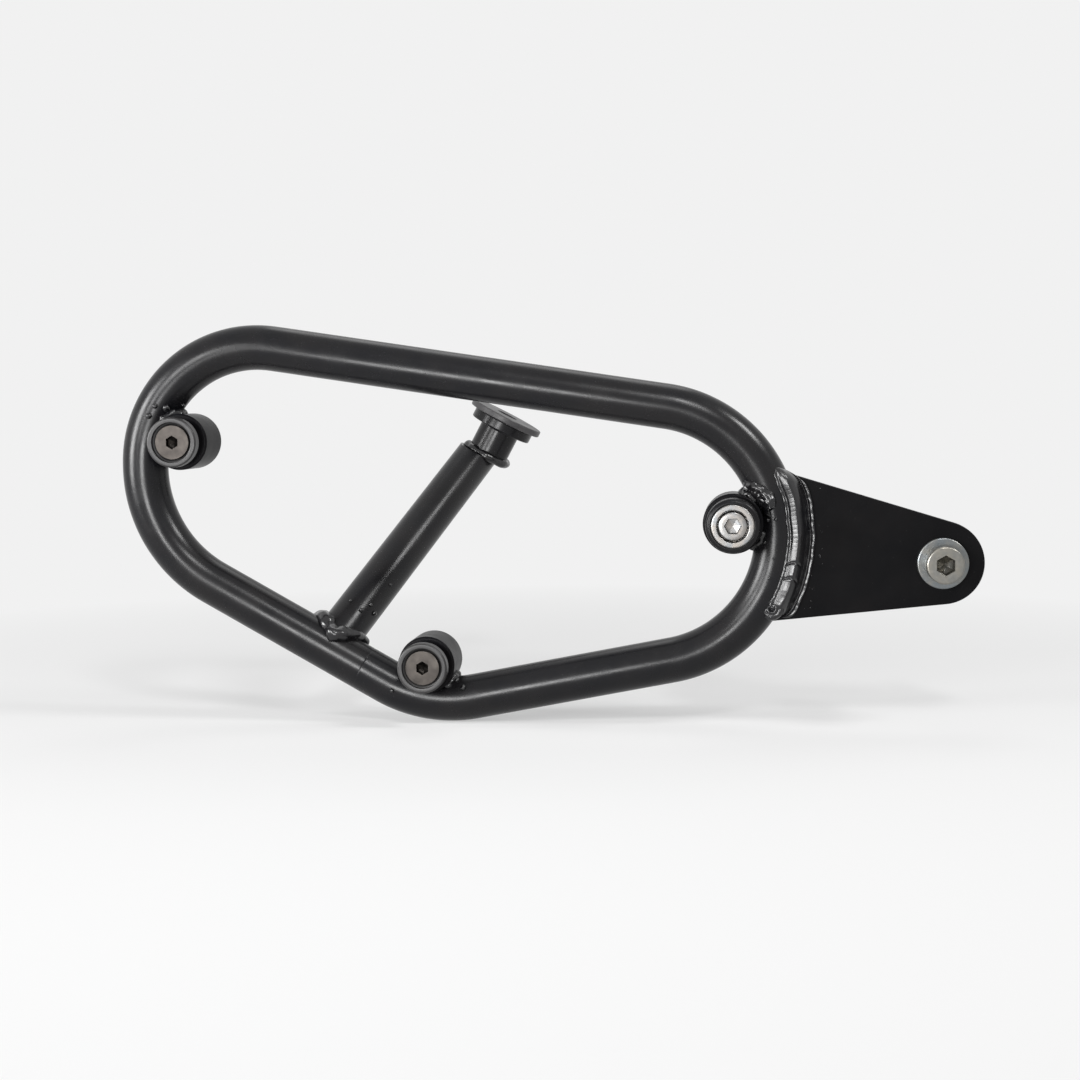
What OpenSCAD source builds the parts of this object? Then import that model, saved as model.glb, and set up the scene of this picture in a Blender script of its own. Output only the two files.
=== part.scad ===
// Side frame that carries a pannier beside the rear wheel of a motorbike, right-hand side.
// X points forward, Y points inboard and Z points up.
// The origin is on the front bolt's axis, at the inner face of the mounting plate.

/* [Tube] */
// Outer diameter of the hoop and strut tube
tube_od = 16; // [14:0.5:18]
// Wall of the hoop and strut tube
tube_wall = 1.5; // [1:0.25:2.5]
// Width of the seam where the hoop's two ends meet
hoop_seam = 0.3; // [0.2:0.1:1]
// How much slimmer the tube is round its bends than on its straight runs, on radius
bend_slim = 0.04; // [0.02:0.01:0.1]
// Distance along the lower left run from its bend to the seam
seam_from_bend = 62.5; // [60:0.5:66]

/* [Hoop] */
// Place of the right bend's centre along X
right_bend_x = -102.5; // [-110:0.5:-98]
// Place of the right bend's centre along Z
right_bend_z = 10; // [4:0.5:16]
// Centreline radius of the right bend
right_bend_r = 45.5; // [40:0.5:50]
// Place of the bottom bend's centre along X
bottom_bend_x = -173.5; // [-180:0.5:-166]
// Place of the bottom bend's centre along Z
bottom_bend_z = -1.5; // [-8:0.5:6]
// Centreline radius of the bottom bend
bottom_bend_r = 47.5; // [42:0.5:52]
// Place of the upper left bend's centre along X
left_bend_x = -242.5; // [-255:0.5:-235]
// Place of the upper left bend's centre along Z
left_bend_z = 35.5; // [28:0.5:42]
// Centreline radius of the upper left bend
left_top_bend_r = 41.5; // [36:0.5:46]
// Centreline radius of the lower left bend
left_low_bend_r = 48; // [43:0.5:53]
// Length of the upright run between the two left bends
left_straight = 1.2; // [1:0.1:6]

/* [Mounting plate] */
// Thickness of the laser cut plate
plate_t = 4; // [3:0.5:6]
// Radius of the plate's round end
plate_end_r = 14.5; // [12:0.5:18]
// Angle round the right bend at which the plate's top edge meets the hoop
plate_top_angle = 24; // [18:1:32]
// Angle round the right bend at which the plate's lower edge meets the hoop
plate_low_angle = -35; // [-42:1:-28]
// Bolt hole in the plate
plate_hole_d = 8.5; // [8.2:0.1:10]

/* [Front bolt] */
// Shank of the front bolt
bolt_d = 8; // [6:0.5:8]
// Length of the front bolt below its head
bolt_l = 30; // [20:1:45]
// How much slimmer the front bolt's thread is than its plain shank, on radius
bolt_thread_slim = 0.2; // [0.16:0.01:0.3]
// Head diameter of the front bolt
bolt_head_d = 13; // [12:0.5:16]
// Head height of the front bolt
bolt_head_h = 8; // [6:0.5:10]
// Hexagon socket of the front bolt, across flats
bolt_socket = 6; // [4:0.5:8]
// Diameter of the front washer
bolt_washer_d = 17.8; // [16:0.2:24]
// Thickness of the front washer
bolt_washer_t = 2.5; // [1:0.25:3]

/* [Strut] */
// Distance along the lower left run from its bend to the strut's foot
strut_from_bend = 48; // [40:0.5:49]
// Place of the strut's upper end along X
head_x = -175; // [-185:0.5:-165]
// Place of the strut's upper end along Y
head_y = 80; // [60:1:95]
// Place of the strut's upper end along Z
head_z = 37; // [30:0.5:42]
// Forward tilt of the threaded bush from upright
bush_tilt = 28; // [15:1:40]
// Sideways shift of the bush on the strut's cut end
bush_shift = 3.4; // [0:0.2:5]

/* [Threaded bush] */
// Diameter of the bush's neck
bush_neck_d = 16; // [14:0.5:18]
// Length of the bush's neck
bush_neck_l = 12; // [10:0.5:18]
// Diameter of the bush's flange
bush_flange_d = 25; // [21:0.5:28]
// Thickness of the bush's flange
bush_flange_t = 4; // [2:0.5:6]
// Thread core bore through the bush
bush_bore_d = 6.8; // [5:0.1:7.5]
// Diameter of the broad washer on the bush
head_washer_d = 30; // [24:1:36]
// Thickness of the broad washer on the bush
head_washer_t = 2.5; // [1.5:0.5:4]
// Hole in the broad washer
head_washer_hole_d = 8.6; // [8:0.1:11]

/* [Bosses] */
// Diameter of the left and bottom bosses
boss_d = 20; // [18:0.5:22]
// Diameter of the right boss
right_boss_d = 21; // [20:0.5:24]
// How far the bosses stand proud of the hoop's outer side
boss_proud = 2; // [0.5:0.5:4]
// Depth of the tube notch in the left and right bosses
boss_notch = 3.4; // [2.5:0.1:4.5]
// Depth of the tube notch in the bottom boss
bottom_notch = 5.2; // [3.5:0.1:5.8]
// Chamfer on the bosses' ends
boss_chamfer = 0.8; // [0.3:0.1:1.2]
// Angle of the left boss round the upper left bend
left_boss_angle = 162.5; // [150:0.5:170]
// Angle of the bottom boss round the bottom bend
bottom_boss_angle = -101.5; // [-108:0.5:-92]
// Angle of the right boss round the right bend
right_boss_angle = 8; // [-10:0.5:20]

/* [Locating studs] */
// Diameter of the stud's head
stud_d = 17.6; // [16.6:0.2:20]
// Thickness of the stud's head
stud_head_t = 4.2; // [4:0.2:6]
// Diameter of the stud's neck
stud_neck_d = 13; // [10:0.5:14]
// Length of the stud's neck, which is the slot that the bag's plate slides into
stud_neck_l = 4.5; // [3.5:0.5:8]
// Rounding on the stud's front edge
stud_edge_r = 1.2; // [0.6:0.1:1.6]
// Diameter of the countersink at the stud's face
stud_sink_d = 14; // [13:0.2:14.4]

/* [Lock stud] */
// Outer diameter of the black collar
collar_d = 18.6; // [17.4:0.2:20]
// Length of the black collar
collar_l = 12; // [8:0.5:16]
// Rounding on the collar's front edge
collar_edge_r = 1.4; // [0.6:0.1:1.5]
// Outer diameter of the bright sleeve
sleeve_d = 14.8; // [14:0.2:15]
// How far the bright sleeve stands out of the collar
sleeve_proud = 0.8; // [0.2:0.1:2]
// Counterbore in the bright sleeve
sleeve_sink_d = 11; // [10.6:0.1:12]
// Depth of the counterbore
sleeve_sink_depth = 6.4; // [5:0.1:7.5]

/* [Small screws] */
// Shank of the screws in the bosses
screw_d = 6; // [5:0.5:6]
// Length of thread that each screw has in its boss
screw_grip = 11; // [8:1:14]
// Head diameter of the countersunk screws
sink_head_d = 12; // [10:0.2:12.4]
// Hexagon socket of the countersunk screws, across flats
sink_socket = 4; // [3:0.5:5]
// Head diameter of the cap screw in the lock stud
cap_head_d = 10; // [9:0.5:10.4]
// Head height of the cap screw in the lock stud
cap_head_h = 6; // [5:0.5:6]
// Hexagon socket of the cap screw, across flats
cap_socket = 5; // [4:0.5:6]

/* [Welds] */
// Radius of the fat bead between plate and hoop
plate_bead_r = 4.6; // [3.5:0.1:5.2]
// Spacing of the ripples in the plate's bead
plate_bead_pitch = 3; // [2:0.25:4]
// Radius of the bead on the plate's inboard side
back_bead_r = 3; // [2.2:0.1:3.6]
// Radius of the beads at the bosses
boss_bead_r = 2.4; // [1.8:0.1:3]
// How far the bead round the strut's foot stands off both tubes
foot_bead_r = 2.7; // [2:0.1:3.2]
// Stop between two stitches of that bead
stitch_gap = 0.4; // [0.3:0.1:1]
// Radius of the bead round the bush's neck
neck_bead_r = 1.9; // [1.4:0.1:2.4]

/* [Fits] */
// Gap between a notched part and the tube it is welded to
cope_gap = 0.1; // [0.05:0.05:0.3]
// Gap between a screw's shank and its thread
thread_gap = 0.05; // [0.02:0.01:0.1]
// Gap between a sleeve, a collar or a cone and its seat
seat_gap = 0.05; // [0.02:0.01:0.15]
// Clearance round a shank in a plain hole
hole_gap = 0.2; // [0.1:0.05:0.4]

/* [Hidden] */
$fn = 96;
bead_fn = 64;

tube_r = tube_od / 2;
tube_y = -plate_t / 2;
boss_front_y = tube_y - tube_r - boss_proud;
boss_back_y = tube_y + tube_r;
stud_l = stud_neck_l + stud_head_t;
screw_r = screw_d / 2;
seat_hole_r = screw_r + hole_gap;
far = 400;

satin_black = [0.09, 0.09, 0.10];
weld_black = [0.13, 0.13, 0.14];
stud_black = [0.16, 0.16, 0.17];
zinc = [0.72, 0.73, 0.72];
dark_screw = [0.42, 0.40, 0.38];

function unit(v) = v / norm(v);
function polar(a) = [cos(a), sin(a)];
function xz(p, y = 0) = [p[0], y, p[1]];

// Angle of the outward normal on the run between two bends, each given as x, z, radius
function run_normal(a, b) =
    let (d = [b[0] - a[0], b[1] - a[1]])
    atan2(d[1], d[0]) - acos((a[2] - b[2]) / norm(d));
function on_bend(b, angle, r) = [b[0], b[1]] + r * polar(angle);

// The four bends, in order against the clock as seen from outside
upper_left = [left_bend_x, left_bend_z, left_top_bend_r];
lower_left = [left_bend_x + left_low_bend_r - left_top_bend_r, left_bend_z - left_straight, left_low_bend_r];
bottom = [bottom_bend_x, bottom_bend_z, bottom_bend_r];
right = [right_bend_x, right_bend_z, right_bend_r];
bends = [upper_left, lower_left, bottom, right];
function bend(i) = bends[i % len(bends)];
function leave_angle(i) = run_normal(bend(i), bend(i + 1));
function enter_angle(i) = run_normal(bend(i + len(bends) - 1), bend(i));
function wrap(a) = a - 360 * floor(a / 360);

// The lower left run, which carries the strut and the seam
low_run = 1;
low_normal = leave_angle(low_run);
low_start = on_bend(bend(low_run), low_normal, bend(low_run)[2]);
low_dir = polar(low_normal + 90);
seam_at = low_start + seam_from_bend * low_dir;

// The strut, from its foot on the hoop's centreline to its cut end under the bush
foot = xz(low_start + strut_from_bend * low_dir, tube_y);
head = [head_x, head_y, head_z];
strut_dir = unit(head - foot);
strut_l = norm(head - foot);
hoop_dir = xz(low_dir);
bush_up = [sin(bush_tilt), 0, cos(bush_tilt)];
bush_base = head + bush_shift * [cos(bush_tilt), 0, -sin(bush_tilt)];

// Lays a flat sketch in the hoop's plane: sketch X to X, sketch Y to Z, height to outboard
module in_side_view(y) {
    translate([0, y, 0]) rotate([90, 0, 0]) children();
}

// Turns a part made along +Z so that it points outboard from a place on a boss
module outboard(p, y) {
    translate(xz(p, y)) rotate([90, 0, 0]) children();
}

module along(from, dir) {
    translate(from)
        rotate([0, acos(dir[2]), atan2(dir[1], dir[0])])
            children();
}

// The hoop's closed path as a round bar: each straight run laps a little into its bends
module hoop_path(r) {
    lap = 0.5;
    for (i = [0 : len(bends) - 1]) {
        b = bend(i);
        turn = wrap(leave_angle(i) - enter_angle(i));
        run = norm(on_bend(bend(i + 1), leave_angle(i), bend(i + 1)[2]) - on_bend(b, leave_angle(i), b[2]));
        in_side_view(tube_y)
            translate([b[0], b[1], 0]) {
                rotate_extrude(angle = turn, start = enter_angle(i))
                    translate([b[2], 0]) circle(r - bend_slim);
                rotate([0, 0, leave_angle(i)])
                    translate([b[2], -lap, 0])
                        rotate([-90, 0, 0])
                            cylinder(r = r, h = run + 2 * lap);
            }
    }
}

module hoop_tube() {
    color(satin_black)
        difference() {
            hoop_path(tube_r);
            hoop_path(tube_r - tube_wall);
            in_side_view(tube_y)
                translate([seam_at[0], seam_at[1], 0])
                    rotate([0, 0, low_normal + 90])
                        cube([hoop_seam, 2 * tube_od, 2 * tube_od], center = true);
        }
}

// Where a line from a corner runs into the plate's round end, side is 1 or -1
function end_tangent(corner, side) =
    let (r = plate_end_r - 0.05, d = norm(corner), a = atan2(corner[1], corner[0]))
    r * polar(a + side * acos(r / d));

plate_seat_r = right_bend_r + tube_r - bend_slim + cope_gap;
plate_top = on_bend(right, plate_top_angle, plate_seat_r - 1);
plate_low = on_bend(right, plate_low_angle, plate_seat_r - 1);

// The plate's solid, with its two faces moved out by a little where a bead is cut by it
module plate_body(grow = 0) {
    h = plate_t + 2 * grow;
    in_side_view(grow)
        difference() {
            union() {
                cylinder(r = plate_end_r, h = h);
                linear_extrude(h)
                    polygon([plate_top, end_tangent(plate_top, -1), end_tangent(plate_low, 1), plate_low]);
            }
            translate([right[0], right[1], -1]) cylinder(r = plate_seat_r, h = h + 2);
            translate([0, 0, -1]) cylinder(d = plate_hole_d, h = h + 2);
        }
}

module mounting_plate() {
    color(satin_black) plate_body();
}

// The right bend's tube, as welds see it
module right_tube(grow) {
    in_side_view(tube_y)
        translate([right[0], right[1], 0])
            rotate_extrude(angle = 120, start = -60)
                translate([right[2], 0]) circle(tube_r - bend_slim + grow);
}

// A row of lobes round the right bend, fat in the middle and slimmer to its ends
module crescent(r, offset, y, from, to, pitch, thin) {
    line_r = right_bend_r + offset;
    steps = round((to - from) * PI / 180 * line_r / pitch);
    for (i = [0 : steps]) {
        t = i / steps;
        p = on_bend(right, from + t * (to - from), line_r);
        fat = thin + (1 - thin) * sin(180 * t);
        translate(xz(p, y)) sphere(r * fat, $fn = bead_fn);
    }
}

plate_bead_offset = tube_r - 0.3;
module plate_weld() {
    color(weld_black)
        difference() {
            union() {
                crescent(plate_bead_r, plate_bead_offset, tube_y - 0.84 * plate_bead_r,
                         plate_low_angle + 4, plate_top_angle + 3, plate_bead_pitch, 0.72);
                crescent(back_bead_r, tube_r + 0.6, -tube_y / 2,
                         plate_low_angle + 3, plate_top_angle - 2, plate_bead_pitch, 0.8);
            }
            right_tube(seat_gap);
            plate_body(seat_gap);
        }
}

// A screw pointing down -Z from the underside of its head at height 0
module shank(r, l) {
    tip = 0.6;
    translate([0, 0, -l + tip]) cylinder(r = r, h = l - tip);
    translate([0, 0, -l]) cylinder(r1 = r - tip, r2 = r, h = tip);
}

module cap_screw(r, l, head_d, head_h, socket, socket_depth, plain = 0, slim = 0) {
    edge = 0.06 * head_d;
    difference() {
        union() {
            shank(r - slim, l);
            if (plain > 0) translate([0, 0, -plain]) cylinder(r = r, h = plain);
            cylinder(d = head_d, h = head_h - edge);
            translate([0, 0, head_h - edge]) cylinder(d1 = head_d, d2 = head_d - 2 * edge, h = edge);
        }
        translate([0, 0, head_h - socket_depth])
            cylinder(d = socket / cos(30), h = head_h, $fn = 6);
    }
}

module ring(outer_r, inner_r, h, edge = 0) {
    rotate_extrude()
        polygon([[inner_r, 0], [outer_r - edge, 0], [outer_r, edge], [outer_r, h - edge],
                 [outer_r - edge, h], [inner_r, h]]);
}

module plate_washer() {
    color(zinc)
        outboard([0, 0], -plate_t)
            ring(bolt_washer_d / 2, bolt_d / 2 + hole_gap, bolt_washer_t, 0.15 * bolt_washer_t);
}

module plate_bolt() {
    grip = plate_t + bolt_washer_t;
    color(zinc)
        outboard([0, 0], -grip)
            cap_screw(bolt_d / 2, bolt_l, bolt_head_d, bolt_head_h, bolt_socket, bolt_head_h / 2,
                      grip, bolt_thread_slim);
}

// Everything above the strut's cut end
module above_cut() {
    translate(bush_base)
        rotate([0, bush_tilt, 0])
            translate([-far / 8, -far / 8, 0]) cube([far / 4, far / 4, far / 4]);
}

// The lower left run as a round bar
module low_bar(r) {
    along(xz(low_start, tube_y), hoop_dir) cylinder(r = r, h = seam_from_bend + tube_od);
}

module strut_tube() {
    color(satin_black)
        difference() {
            along(foot, strut_dir) cylinder(r = tube_r, h = strut_l + tube_od);
            along(foot, strut_dir) cylinder(r = tube_r - tube_wall, h = strut_l + 2 * tube_od);
            low_bar(tube_r + cope_gap);
            above_cut();
        }
}

// The strut's lower stretch as a round bar
module foot_bar(r) {
    along(foot, strut_dir) cylinder(r = r, h = 2 * tube_od);
}

// The bead fills the corner between the strut and the hoop, in stitches with a small stop between them
module strut_foot_weld() {
    color(weld_black)
        difference() {
            intersection() {
                foot_bar(tube_r + foot_bead_r);
                low_bar(tube_r + 0.8 * foot_bead_r);
            }
            low_bar(tube_r + cope_gap);
            foot_bar(tube_r + seat_gap);
            for (a = [45, 135])
                along(foot, strut_dir)
                    rotate([0, 0, a])
                        translate([0, 0, tube_od])
                            cube([4 * tube_od, stitch_gap, 4 * tube_od], center = true);
        }
}

module threaded_bush() {
    neck_r = bush_neck_d / 2;
    flange_r = bush_flange_d / 2;
    bore_r = bush_bore_d / 2;
    top = bush_neck_l + bush_flange_t;
    edge = 0.12 * bush_flange_t;
    color(stud_black)
        translate(bush_base)
            rotate([0, bush_tilt, 0])
                rotate_extrude()
                    polygon([[bore_r, 0], [neck_r, 0], [neck_r, bush_neck_l],
                             [flange_r - edge, bush_neck_l], [flange_r, bush_neck_l + edge],
                             [flange_r, top - edge], [flange_r - edge, top], [bore_r, top]]);
}

module bush_washer() {
    color(satin_black)
        translate(bush_base + (bush_neck_l + bush_flange_t) * bush_up)
            rotate([0, bush_tilt, 0])
                ring(head_washer_d / 2, head_washer_hole_d / 2, head_washer_t, 0.1 * head_washer_t);
}

neck_lobes = 20;
module bush_weld() {
    color(weld_black)
        difference() {
            translate(bush_base)
                rotate([0, bush_tilt, 0])
                    for (i = [0 : neck_lobes - 1]) {
                        swell = 1 + 0.14 * sin(i * 149);
                        rotate([0, 0, i * 360 / neck_lobes])
                            translate([bush_neck_d / 2 + 0.35, 0, 0.3 * neck_bead_r])
                                sphere(neck_bead_r * swell, $fn = bead_fn);
                    }
            translate(bush_base)
                rotate([0, bush_tilt, 0]) {
                    cylinder(r = bush_neck_d / 2 + seat_gap, h = bush_neck_l);
                    translate([0, 0, seat_gap - tube_od]) cylinder(r = bush_neck_d, h = tube_od);
                }
        }
}

// Boss places: the bend that carries it, its angle there and its diameter and notch
left_place = [upper_left, left_boss_angle, boss_d / 2, boss_notch];
bottom_place = [bottom, bottom_boss_angle, boss_d / 2, bottom_notch];
right_place = [right, right_boss_angle, right_boss_d / 2, boss_notch];
function boss_at(place) =
    on_bend(place[0], place[1], place[0][2] - tube_r - place[2] + place[3]);

module boss(place) {
    p = boss_at(place);
    r = place[2];
    l = boss_back_y - boss_front_y;
    color(satin_black)
        difference() {
            outboard(p, boss_back_y) ring(r, screw_r + thread_gap, l, boss_chamfer);
            hoop_path(tube_r + cope_gap);
        }
}

// Where a circle of radius r round c meets a circle of radius s round d, side is 1 or -1
function circles_meet(c, r, d, s, side) =
    let (v = d - c,
         l = norm(v),
         a = acos((l * l + r * r - s * s) / (2 * l * r)))
    c + r * polar(atan2(v[1], v[0]) + side * a);

boss_lobes = 5;
module boss_weld(place) {
    b = place[0];
    p = boss_at(place);
    reach = 0.7 * tube_r;
    color(weld_black)
        difference() {
            for (side = [-1, 1], i = [0 : boss_lobes - 1]) {
                dy = reach * (2 * i / (boss_lobes - 1) - 1);
                inner = b[2] - sqrt(tube_r * tube_r - dy * dy);
                swell = 1 + 0.18 * sin(i * 131 + side * 70);
                corner = circles_meet([b[0], b[1]], inner, p, place[2], side);
                translate(xz(corner, tube_y + dy)) sphere(boss_bead_r * swell, $fn = bead_fn);
            }
            hoop_path(tube_r + seat_gap);
            outboard(p, boss_back_y + tube_od) cylinder(r = place[2] + seat_gap, h = 3 * tube_od);
        }
}

// A quarter round from the side of a turned part to its face, as points
function round_edge(r, h, e) = [for (a = [0 : 15 : 90]) [r - e + e * cos(a), h - e + e * sin(a)]];

module stud(place) {
    sink_r = stud_sink_d / 2;
    sink_from = stud_l - (sink_r - seat_hole_r);
    color(stud_black)
        outboard(boss_at(place), boss_front_y)
            rotate_extrude()
                polygon(concat([[seat_hole_r, 0], [stud_neck_d / 2, 0], [stud_neck_d / 2, stud_neck_l],
                                [stud_d / 2, stud_neck_l]],
                               round_edge(stud_d / 2, stud_l, stud_edge_r),
                               [[sink_r, stud_l], [seat_hole_r, sink_from]]));
}

// A countersunk screw whose cone lies on the stud's countersink
module sink_screw(place) {
    head_r = sink_head_d / 2;
    top = stud_l - (stud_sink_d / 2 - head_r) + seat_gap;
    under = top - (head_r - screw_r);
    color(dark_screw)
        outboard(boss_at(place), boss_front_y)
            difference() {
                union() {
                    translate([0, 0, under]) shank(screw_r, under + screw_grip);
                    translate([0, 0, under]) cylinder(r1 = screw_r, r2 = head_r, h = top - under);
                }
                translate([0, 0, top - 0.45 * sink_socket])
                    cylinder(d = sink_socket / cos(30), h = sink_socket, $fn = 6);
            }
}

module lock_collar() {
    inner = sleeve_d / 2 + seat_gap;
    color(stud_black)
        outboard(boss_at(right_place), boss_front_y)
            rotate_extrude()
                polygon(concat([[inner, 0], [collar_d / 2, 0]],
                               round_edge(collar_d / 2, collar_l, collar_edge_r),
                               [[inner, collar_l]]));
}

module lock_sleeve() {
    outer = sleeve_d / 2;
    sink = sleeve_sink_d / 2;
    top = collar_l + sleeve_proud;
    edge = 0.5;
    color(zinc)
        outboard(boss_at(right_place), boss_front_y)
            rotate_extrude()
                polygon([[seat_hole_r, 0], [outer, 0], [outer, top - edge], [outer - edge, top],
                         [sink, top], [sink, top - sleeve_sink_depth],
                         [seat_hole_r, top - sleeve_sink_depth]]);
}

module lock_screw() {
    under = collar_l + sleeve_proud - sleeve_sink_depth;
    color(zinc)
        outboard(boss_at(right_place), boss_front_y - under)
            cap_screw(screw_r, under + screw_grip, cap_head_d, cap_head_h, cap_socket, cap_head_h / 2);
}

module left_boss() { boss(left_place); }
module left_boss_weld() { boss_weld(left_place); }
module left_stud() { stud(left_place); }
module left_screw() { sink_screw(left_place); }
module bottom_boss() { boss(bottom_place); }
module bottom_boss_weld() { boss_weld(bottom_place); }
module bottom_stud() { stud(bottom_place); }
module bottom_screw() { sink_screw(bottom_place); }
module right_boss() { boss(right_place); }
module right_boss_weld() { boss_weld(right_place); }

hoop_tube();
mounting_plate();
plate_weld();
plate_bolt();
plate_washer();
strut_tube();
strut_foot_weld();
threaded_bush();
bush_weld();
bush_washer();
left_boss();
left_boss_weld();
left_stud();
left_screw();
bottom_boss();
bottom_boss_weld();
bottom_stud();
bottom_screw();
right_boss();
right_boss_weld();
lock_collar();
lock_sleeve();
lock_screw();
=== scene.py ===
import math
import random
import bmesh
import bpy
from mathutils import Matrix, Vector, noise


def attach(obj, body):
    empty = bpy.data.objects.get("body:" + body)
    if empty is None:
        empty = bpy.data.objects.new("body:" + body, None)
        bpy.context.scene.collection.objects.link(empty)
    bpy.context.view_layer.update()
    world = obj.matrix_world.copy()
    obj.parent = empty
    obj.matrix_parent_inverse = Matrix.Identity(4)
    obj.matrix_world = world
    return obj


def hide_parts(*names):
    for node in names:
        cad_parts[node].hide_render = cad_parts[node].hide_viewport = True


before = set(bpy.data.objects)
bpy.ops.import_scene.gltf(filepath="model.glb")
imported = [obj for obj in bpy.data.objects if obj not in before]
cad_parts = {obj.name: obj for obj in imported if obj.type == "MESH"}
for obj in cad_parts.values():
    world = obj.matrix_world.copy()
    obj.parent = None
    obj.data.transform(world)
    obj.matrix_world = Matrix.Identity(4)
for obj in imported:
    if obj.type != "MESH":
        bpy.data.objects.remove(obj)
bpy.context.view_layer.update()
mm = 0.001
outward = Vector((0, -1, 0))  # the part's outer side, where the studs are

# Pannier frame, right-hand side. All lengths below are in millimetres, as in the part's source,
# and turn into metres when a piece is made.

tube = {"radius": 8.0, "wall": 1.5, "planeY": -2.0, "facets": 72, "step": 1.4}

# Bends of the hoop in order: centre along X, centre along Z, centreline radius
upperLeft = (-242.5, 35.5, 41.5)
lowerLeft = (-236.0, 34.3, 48.0)
bottomBend = (-173.5, -1.5, 47.5)
rightBend = (-102.5, 10.0, 45.5)
bends = [upperLeft, lowerLeft, bottomBend, rightBend]


def polar(degrees):
    return Vector((math.cos(math.radians(degrees)), math.sin(math.radians(degrees))))


def onBend(bend, degrees, radius):
    return Vector((bend[0], bend[1])) + polar(degrees) * radius


def runNormal(first, second):
    # angle of the outward normal on the straight run between two bends
    across = Vector((second[0] - first[0], second[1] - first[1]))
    lean = math.degrees(math.acos((first[2] - second[2]) / across.length))
    return math.degrees(math.atan2(across.y, across.x)) - lean


def inPlane(flat, y):
    return Vector((flat.x, y, flat.y))


def onceRound(count):
    # the angles of count even places once round a circle
    return [2 * math.pi * k / count for k in range(count)]


# Mesh helpers

def joinRings(rings, around=True, along=False, capped=False):
    count = len(rings[0])
    points = [point for ring in rings for point in ring]
    faces = []
    last = len(rings) if along else len(rings) - 1
    for i in range(last):
        base, following = i * count, ((i + 1) % len(rings)) * count
        for k in range(count if around else count - 1):
            nextK = (k + 1) % count
            faces.append((base + k, base + nextK, following + nextK, following + k))
    if capped:
        faces.append(tuple(reversed(range(count))))
        faces.append(tuple(range((len(rings) - 1) * count, len(rings) * count)))
    return points, faces


def makePiece(name, shape, material, stands=(), creaseAngle=32, place=None, evenFlats=True):
    # makes one piece from points in millimetres and sets it on the frame's body
    points, faces = shape
    if place is not None:
        points = [place @ point for point in points]
    mesh = bpy.data.meshes.new(name)
    mesh.from_pydata([tuple(point * mm) for point in points], [], faces)
    mesh.validate()
    mesh.shade_smooth()
    mesh.set_sharp_from_angle(angle=math.radians(creaseAngle))
    mesh.materials.append(material)
    piece = bpy.data.objects.new(name, mesh)
    bpy.context.scene.collection.objects.link(piece)
    setOutside(piece)
    if evenFlats:  # keeps a flat face flat where it meets a small rounding
        steady = piece.modifiers.new("evenFlats", "WEIGHTED_NORMAL")
        steady.keep_sharp = True
    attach(piece, "root")
    if stands:
        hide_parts(*stands)
    return piece


def setOutside(piece):
    # turns every face of a closed shape to the outside
    form = bmesh.new()
    form.from_mesh(piece.data)
    bmesh.ops.remove_doubles(form, verts=form.verts, dist=1e-7)
    bmesh.ops.recalc_face_normals(form, faces=form.faces)
    form.to_mesh(piece.data)
    form.free()


def addShapes(*shapes):
    points, faces = [], []
    for somePoints, someFaces in shapes:
        start = len(points)
        points += somePoints
        faces += [tuple(start + corner for corner in face) for face in someFaces]
    return points, faces


nearAxis = 0.01  # a turned shape stops this far from its axis


def turned(profile, facets=96, closed=True):
    # a turned shape about +Z from (radius, height) stations, or (half width, height, "hex")
    rings = []
    for station in profile:
        ring = []
        for angle in onceRound(facets):
            radius = station[0]
            if len(station) > 2:
                side = (angle + math.pi / 6) % (math.pi / 3) - math.pi / 6
                radius = station[0] / math.cos(side)
            ring.append(Vector((radius * math.cos(angle), radius * math.sin(angle), station[1])))
        rings.append(ring)
    return joinRings(rings, along=closed, capped=not closed)


def rounded(corners, sizes, steps=5):
    # rounds the corners of a profile, each by its own size in sizes
    made = []
    count = len(corners)
    for i, corner in enumerate(corners):
        here = Vector(corner)
        size = sizes[i]
        if size <= 0:
            made.append(tuple(here))
            continue
        back = (Vector(corners[i - 1]) - here).normalized()
        ahead = (Vector(corners[(i + 1) % count]) - here).normalized()
        turn = math.acos(max(-1, min(1, back.dot(ahead))))
        if turn > math.radians(176):
            made.append(tuple(here))
            continue
        reach = size / math.tan(turn / 2)
        middle = here + (back + ahead).normalized() * (size / math.sin(turn / 2))
        start, end = here + back * reach - middle, here + ahead * reach - middle
        whole = start.angle_signed(end)
        for j in range(steps + 1):
            swing = Matrix.Rotation(-whole * j / steps, 2)
            made.append(tuple(middle + swing @ start))
    return made


def facingOut(flat, y):
    # stands a turned shape on a place of the hoop's plane, with its axis pointing outward
    return Matrix.Translation(inPlane(flat, y)) @ Matrix.Rotation(math.radians(90), 4, "X")


scaleLevel = 0.7  # mean height of the scales
beadForm = {"lumpSize": 4.2, "fineSize": 0.4, "fineShare": 0.22, "bow": 0.75, "bluntEnd": 0.004}


def scales(phase):
    # the surface of a bead laid in overlapping drops: smooth backs with narrow valleys, from 0 to 1
    return 1 - (1 - abs(math.sin(math.pi * phase))) ** 3


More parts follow.
